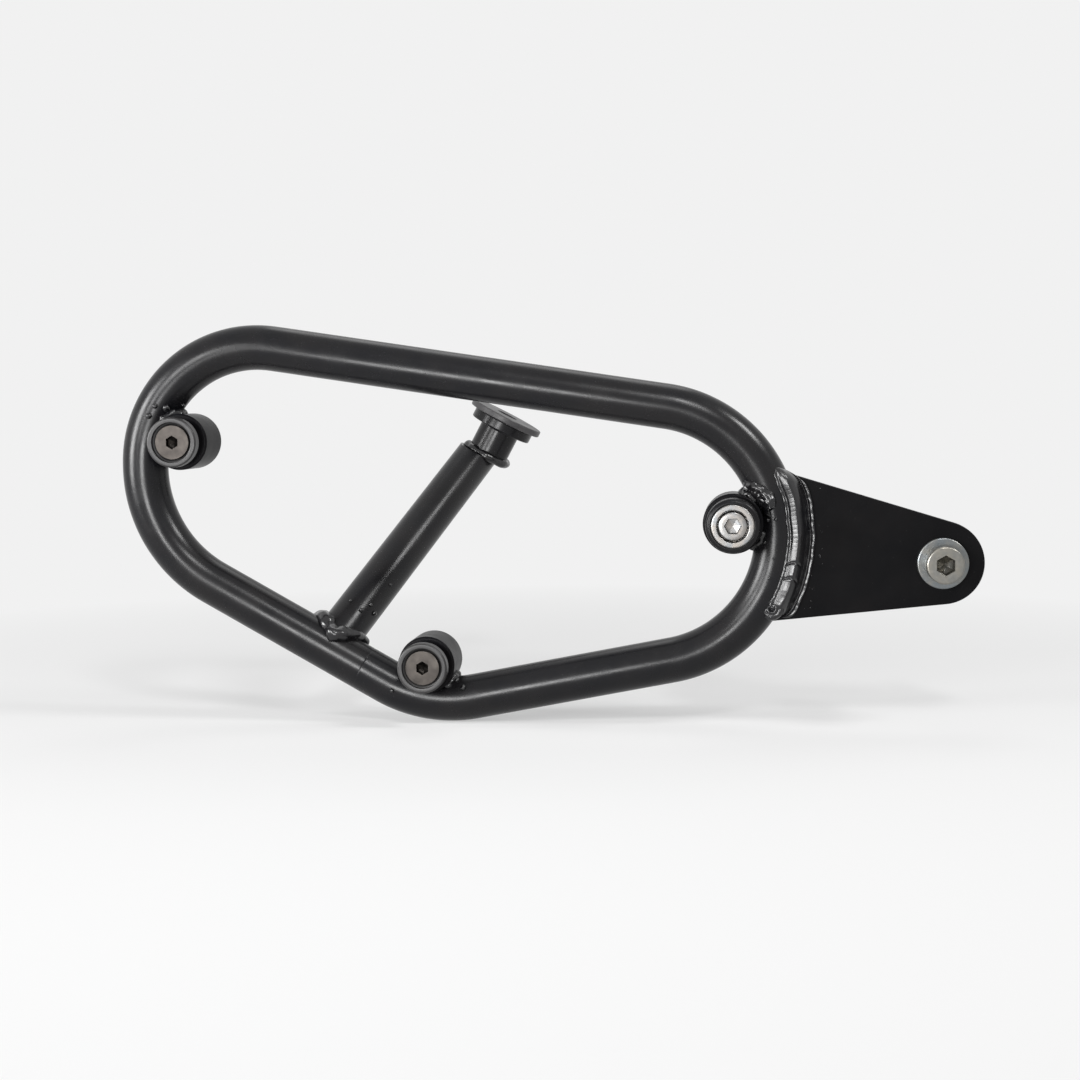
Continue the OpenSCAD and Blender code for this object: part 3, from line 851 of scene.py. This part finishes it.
def makeFootBead():
    look = footBead
    path, crowns, radii = [], [], []
    for angle in onceRound(look["count"]):
        spoke = strutSpoke(angle)
        place = foot + spoke * tube["radius"] + strutHeading * reachHoop(angle, tube["radius"])
        offAxis = place - foot
        away = (offAxis - hoopHeading * offAxis.dot(hoopHeading)).normalized()
        crown = (spoke + away).normalized()
        path.append(place + crown * look["lift"])
        crowns.append(crown)
        swell = look["leftSwell"] * max(0, -crown.x)
        swell += look["unevenRadius"] * noise.noise(place / 5 + Vector((3, 1, 8)))
        radii.append(look["radius"] * (1 + swell))
    shape = bead(path, crowns, radii, look, 6, closed=True, facets=look["facets"])
    makeWeld("strutFootBead", shape, ["strut_foot_weld"])


makeFootBead()
print("foot bead made")


# Bosses, each notched on to the hoop from inside

bosses = {
    "left": {"bend": upperLeft, "angle": 162.5, "radius": 10.0, "notch": 3.4, "beads": (1.9, 1.7)},
    "bottom": {"bend": bottomBend, "angle": -101.5, "radius": 10.0, "notch": 5.2, "beads": (1.6, 1.5)},
    "right": {"bend": rightBend, "angle": 8.0, "radius": 10.5, "notch": 3.4, "beads": (1.8, 2.6),
              "frontPatch": [(748, 486), (754, 488), (760, 491), (766, 496), (770, 502), (773, 509)]},
}
bossLook = {"frontY": -12.0, "backY": 6.0, "bore": 3.05, "edge": 0.8, "boreEdge": 0.3}
bossBead = {"pitch": 1.0, "ripple": 0.13, "lump": 0.80, "lumpSize": 2.4, "reach": 6.1, "lift": 0.3,
            "steps": 80}
patchBead = {"pitch": 0.9, "ripple": 0.16, "lump": 0.9, "lumpSize": 1.9, "flat": 1.35, "radius": 2.5,
             "sink": 0.9, "smoothing": 8, "facets": 44}


def bossPlace(boss):
    radius = boss["bend"][2] - tube["radius"] - boss["radius"] + boss["notch"]
    return onBend(boss["bend"], boss["angle"], radius)


def circlesMeet(first, firstRadius, second, secondRadius, side):
    between = second - first
    length = between.length
    lean = math.acos((length ** 2 + firstRadius ** 2 - secondRadius ** 2) / (2 * length * firstRadius))
    return first + polar(math.degrees(math.atan2(between.y, between.x) + side * lean)) * firstRadius


def makeBoss(name, boss):
    length = bossLook["backY"] - bossLook["frontY"]
    radius, bore = boss["radius"], bossLook["bore"]
    edge, boreEdge = bossLook["edge"], bossLook["boreEdge"]
    corners = [(bore, 0), (radius, 0), (radius, length), (bore, length)]
    profile = rounded(corners, [boreEdge, edge, edge, boreEdge], 6)
    place = facingOut(bossPlace(boss), bossLook["backY"])
    makePiece(name + "Boss", turned(profile), bossCoat, [name + "_boss"], place=place)


def makeBossBead(boss, side, size):
    # one of the two beads where a boss meets the hoop
    centre = Vector((boss["bend"][0], boss["bend"][1]))
    middle = bossPlace(boss)
    path, crowns, radii = [], [], []
    for j in range(bossBead["steps"] + 1):
        swing = math.pi * (j / bossBead["steps"] - 0.5)
        depth = bossBead["reach"] * math.sin(swing)
        inner = boss["bend"][2] - math.sqrt(tube["radius"] ** 2 - depth ** 2)
        corner = circlesMeet(centre, inner, middle, boss["radius"], side)
        fromBoss = (corner - middle).normalized()
        toMiddle = (centre - corner).normalized() * math.cos(swing)
        crown = inPlane(fromBoss + toMiddle, 0.9 * math.sin(swing)).normalized()
        path.append(inPlane(corner, tube["planeY"] + depth) + crown * bossBead["lift"])
        crowns.append(crown)
        radii.append(size * (0.8 + 0.3 * math.cos(swing)))
    return bead(path, crowns, radii, bossBead, side + boss["angle"] * 0.1)


def makePatch(knots):
    # rough weld metal on the hoop's outer side
    places = [hoopSurface(knot.x, knot.y) for knot in smoothLine(knots, patchBead["smoothing"])]
    path = [place - normal * patchBead["sink"] for place, normal in places]
    crowns = [normal for place, normal in places]
    radii = [patchBead["radius"]] * len(path)
    return bead(path, crowns, radii, patchBead, 5, facets=patchBead["facets"])


def makeBossBeads(name, boss):
    shapes = [makeBossBead(boss, side, size) for side, size in zip((-1, 1), boss["beads"])]
    if "frontPatch" in boss:
        shapes.append(makePatch(boss["frontPatch"]))
    makeWeld(name + "BossBeads", addShapes(*shapes), [name + "_boss_weld"])


for bossName, bossData in bosses.items():
    makeBoss(bossName, bossData)
    makeBossBeads(bossName, bossData)
print("bosses made")


# What the screws share

tipEdge = 0.5
capScrew = {"dish": 0.6, "socketEdges": (0.15, 0.16, 0.13, 0.4)}


def hexSocket(look, face):
    # stations of a hexagonal socket, from its dished floor up to the flat round its mouth
    edge, lipDepth, lipWidth, land = look["socketEdges"]
    half, dish = look["socket"] / 2, look["dish"]
    corner = half / math.cos(math.radians(30))
    floor = face - look["socketDepth"]
    return [(nearAxis, floor - dish * half), (half * 0.5, floor - 0.5 * dish * half, "hex"),
            (half - edge, floor, "hex"), (half, floor + edge, "hex"), (half, face - lipDepth, "hex"),
            (half + lipWidth, face, "hex"), (corner + land, face)]


def screwTip(shank, end):
    return [(shank, end + tipEdge), (shank - tipEdge, end), (nearAxis, end)]


def capScrewProfile(look, length):
    # a socket head screw down to the tip of its shank, with the underside of its head at height 0
    head, height, shank = look["head"], look["headHeight"], look["shank"]
    profile = hexSocket(look, height)
    profile += [(head - 0.62, height), (head - 0.38, height - 0.05), (head - 0.16, height - 0.19),
                (head - 0.04, height - 0.42), (head, height - 0.7), (head, 0.25), (head - 0.25, 0),
                (shank, 0)]
    return profile + screwTip(shank, -length)


# Locating studs with their countersunk screws

stud = {"radius": 8.8, "head": 4.2, "neck": 6.5, "neckLength": 4.5, "sink": 7.0, "hole": 3.2,
        "ledgeFrom": 1.6, "ledgeTo": 1.9, "ledgeWidth": 0.9, "coneDrop": 0.5,
        "edges": (0, 0.2, 0.4, 0.4, 0.7, 0.25, 0, 0, 0)}
sinkScrew = {"head": 6.0, "shank": 3.0, "grip": 11.0, "socket": 4.0, "socketDepth": 2.6, "below": 0.95,
             "rim": 0.25, "dish": 0.6, "socketEdges": (0.12, 0.12, 0.1, 0.3)}


def makeStud(name, boss):
    place = facingOut(bossPlace(boss), bossLook["frontY"])
    radius, neck, sink, hole = stud["radius"], stud["neck"], stud["sink"], stud["hole"]
    shoulder = stud["neckLength"]
    top = shoulder + stud["head"]
    corners = [(hole, 0), (neck, 0), (neck, shoulder), (radius, shoulder), (radius, top), (sink, top),
               (sink, top - stud["ledgeFrom"]), (sink - stud["ledgeWidth"], top - stud["ledgeTo"]),
               (hole, top - stud["coneDrop"] - (sink - hole))]
    profile = rounded(corners, stud["edges"], 6)
    makePiece(name + "Stud", turned(profile), studCoat, [name + "_stud"], place=place)
    face, rim = top - sinkScrew["below"], sinkScrew["rim"]
    head, shank = sinkScrew["head"], sinkScrew["shank"]
    profile = hexSocket(sinkScrew, face)
    profile += [(head - 0.14, face), (head - 0.04, face - 0.05), (head, face - 0.15), (head, face - rim),
                (shank, face - rim - (head - shank))]
    profile += screwTip(shank, -sinkScrew["grip"])
    makePiece(name + "Screw", turned(profile), screwSteel, [name + "_screw"], place=place)


makeStud("left", bosses["left"])
makeStud("bottom", bosses["bottom"])
print("studs made")


# Lock stud: black collar, bright sleeve and cap screw

lockStud = {"collar": 9.3, "collarLength": 12.0, "sleeve": 7.4, "gap": 0.05, "hole": 3.2, "proud": 0.8,
            "sink": 5.5, "sinkDepth": 6.4, "collarEdges": (0, 0.3, 1.4, 0.25),
            "sleeveEdges": (0, 0, 0.45, 0.3, 0, 0)}
lockScrew = {**capScrew, "shank": 3.0, "grip": 11.0, "head": 5.0, "headHeight": 6.0, "socket": 5.0,
             "socketDepth": 3.0, "dish": 0.08, "turn": 30.0}


def makeLockStud():
    place = facingOut(bossPlace(bosses["right"]), bossLook["frontY"])
    sleeve, sink, hole = lockStud["sleeve"], lockStud["sink"], lockStud["hole"]
    inner, outer, length = sleeve + lockStud["gap"], lockStud["collar"], lockStud["collarLength"]
    corners = [(inner, 0), (outer, 0), (outer, length), (inner, length)]
    profile = rounded(corners, lockStud["collarEdges"], 8)
    makePiece("lockCollar", turned(profile), collarCoat, ["lock_collar"], place=place)
    top = length + lockStud["proud"]
    floor = top - lockStud["sinkDepth"]
    corners = [(hole, 0), (sleeve, 0), (sleeve, top), (sink, top), (sink, floor), (hole, floor)]
    profile = rounded(corners, lockStud["sleeveEdges"], 5)
    makePiece("lockSleeve", turned(profile), zinc, ["lock_sleeve"], place=place)
    screwPlace = facingOut(bossPlace(bosses["right"]), bossLook["frontY"] - floor)
    screwPlace = screwPlace @ Matrix.Rotation(math.radians(lockScrew["turn"]), 4, "Z")
    profile = capScrewProfile(lockScrew, floor + lockScrew["grip"])
    makePiece("lockScrew", turned(profile), zinc, ["lock_screw"], place=screwPlace)


makeLockStud()
print("lock stud made")


# Front bolt with its washer

frontWasher = {"radius": 8.9, "thick": 2.5, "hole": 4.2, "edges": (0.1, 0.35, 0.5, 0.2)}
frontBolt = {**capScrew, "head": 6.5, "headHeight": 8.0, "socket": 6.0, "socketDepth": 4.0, "shank": 4.0,
             "length": 30.0, "overlap": 0.2, "threadRadius": 3.98, "threadPitch": 1.25,
             "threadDepth": 0.6, "threadEnd": 0.8, "facets": 48, "rowsPerTurn": 8}


def threadRings(look, start):
    # the bolt's thread, from a height down to its end
    end, pitch, facets = -look["length"], look["threadPitch"], look["facets"]
    rings = []
    rows = round(abs(end - start) / pitch * look["rowsPerTurn"])
    for j in range(rows + 1):
        z = start + (end - start) * j / rows
        tip = min(1, max(0, (z - end) / look["threadEnd"]))
        ring = []
        for k in range(facets):
            angle = 2 * math.pi * k / facets
            phase = (z / pitch + k / facets) % 1
            rise = min(1, max(0, abs(phase - 0.5) * 2.6 - 0.15))
            size = look["threadRadius"] - look["threadDepth"] * (1 - rise * tip)
            ring.append(Vector((size * math.cos(angle), size * math.sin(angle), z)))
        rings.append(ring)
    return rings


def washerProfile(look):
    hole, radius, thick = look["hole"], look["radius"], look["thick"]
    return rounded([(hole, 0), (radius, 0), (radius, thick), (hole, thick)], look["edges"], 5)


def makeFrontBolt():
    centre = Vector((0, 0))
    washerPlace = facingOut(centre, -plate["thickness"])
    makePiece("frontWasher", turned(washerProfile(frontWasher)), shadedWasherZinc, ["plate_washer"],
              place=washerPlace)
    boltPlace = facingOut(centre, -plate["thickness"] - frontWasher["thick"])
    plain = plate["thickness"] + frontWasher["thick"]
    head = turned(capScrewProfile(frontBolt, plain + frontBolt["overlap"]))
    shape = addShapes(head, joinRings(threadRings(frontBolt, -plain), capped=True))
    makePiece("frontBolt", shape, boltZinc, ["plate_bolt"], place=boltPlace)


makeFrontBolt()
print("front bolt made")


# Threaded bush and broad washer on the strut's cut end

bush = {"neck": 8.0, "neckLength": 12.0, "flange": 12.5, "flangeThick": 4.0, "bore": 3.4,
        "edges": (0, 0.3, 0.7, 0.6, 0.5, 0.5)}
broadWasher = {"radius": 15.0, "thick": 2.5, "hole": 4.3, "edges": (0.2, 0.5, 0.5, 0.3)}
neckBead = {"radius": 1.8, "unevenRadius": 0.15, "pitch": 1.6, "ripple": 0.07, "lump": 0.50,
            "off": 0.35, "height": 0.5, "rise": 0.6, "count": 120}


def makeBush():
    place = Matrix.Translation(bushBase) @ Matrix.Rotation(tilt, 4, "Y")
    neck, flange, bore, shoulder = bush["neck"], bush["flange"], bush["bore"], bush["neckLength"]
    top = shoulder + bush["flangeThick"]
    corners = [(bore, 0), (neck, 0), (neck, shoulder), (flange, shoulder), (flange, top), (bore, top)]
    profile = rounded(corners, bush["edges"], 5)
    makePiece("threadedBush", turned(profile), tubeCoat, ["threaded_bush"], place=place)
    washerPlace = Matrix.Translation(bushBase + bushUp * top) @ Matrix.Rotation(tilt, 4, "Y")
    makePiece("broadWasher", turned(washerProfile(broadWasher)), washerCoat,
              ["bush_washer"], place=washerPlace)
    look = neckBead
    path, crowns = [], []
    for angle in onceRound(look["count"]):
        spoke = Vector((math.cos(angle), math.sin(angle), 0))
        path.append(place @ (spoke * (neck + look["off"]) + Vector((0, 0, look["height"]))))
        crowns.append(place.to_3x3() @ (spoke + Vector((0, 0, look["rise"]))).normalized())
    radii = [look["radius"] * (1 + look["unevenRadius"] * noise.noise(point / 4)) for point in path]
    makeWeld("bushBead", bead(path, crowns, radii, look, 8, closed=True), ["bush_weld"])


makeBush()
print("bush made")


# Spatter drops that the welding left, painted over with the rest. On the hoop each is a place of the
# front view and a radius, and on the strut the way aside, the way up from its foot and a radius.

spatter = {"onHoop": [(160.6, 403.8, 0.95), (170.4, 405.7, 1.25), (184.4, 403.3, 0.6), (153.6, 414.5, 1.1),
                      (460, 680, 0.9), (468, 686, 1.0), (396, 688, 0.8), (778, 516, 0.7), (771, 520, 0.7),
                      (768, 540, 0.6), (776, 558, 0.5), (772, 575, 0.6)],
           "onStrut": [(2.2, 16.0, 0.9), (6.2, 19.5, 0.9), (3.6, 20.5, 0.7), (4.8, 33.0, 0.6),
                       (-3.0, 17.0, 0.6)]}
plateSpatter = {"seed": 11, "count": 16, "angles": (-26, 15), "places": (58.8, 62.5), "sizes": (0.12, 0.34)}


def makeSpatter():
    shapes = []
    for px, py, size in spatter["onHoop"]:
        place, normal = hoopSurface(px, py)
        shapes.append(drop(place, normal, size, px))
    front = (outward - strutHeading * outward.dot(strutHeading)).normalized()
    across = strutHeading.cross(front)
    if across.x < 0:
        across.negate()
    for aside, far, size in spatter["onStrut"]:
        lean = math.asin(aside / tube["radius"])
        normal = across * math.sin(lean) + front * math.cos(lean)
        shapes.append(drop(foot + strutHeading * far + normal * tube["radius"], normal, size, far))
    dice = random.Random(plateSpatter["seed"])
    for j in range(plateSpatter["count"]):
        angle = dice.uniform(*plateSpatter["angles"])
        flat = onBend(rightBend, angle, dice.uniform(*plateSpatter["places"]))
        place = inPlane(flat, -plate["thickness"])
        shapes.append(drop(place, outward, dice.uniform(*plateSpatter["sizes"]), j))
    makeWeld("weldSpatter", addShapes(*shapes))


makeSpatter()
print("spatter made")
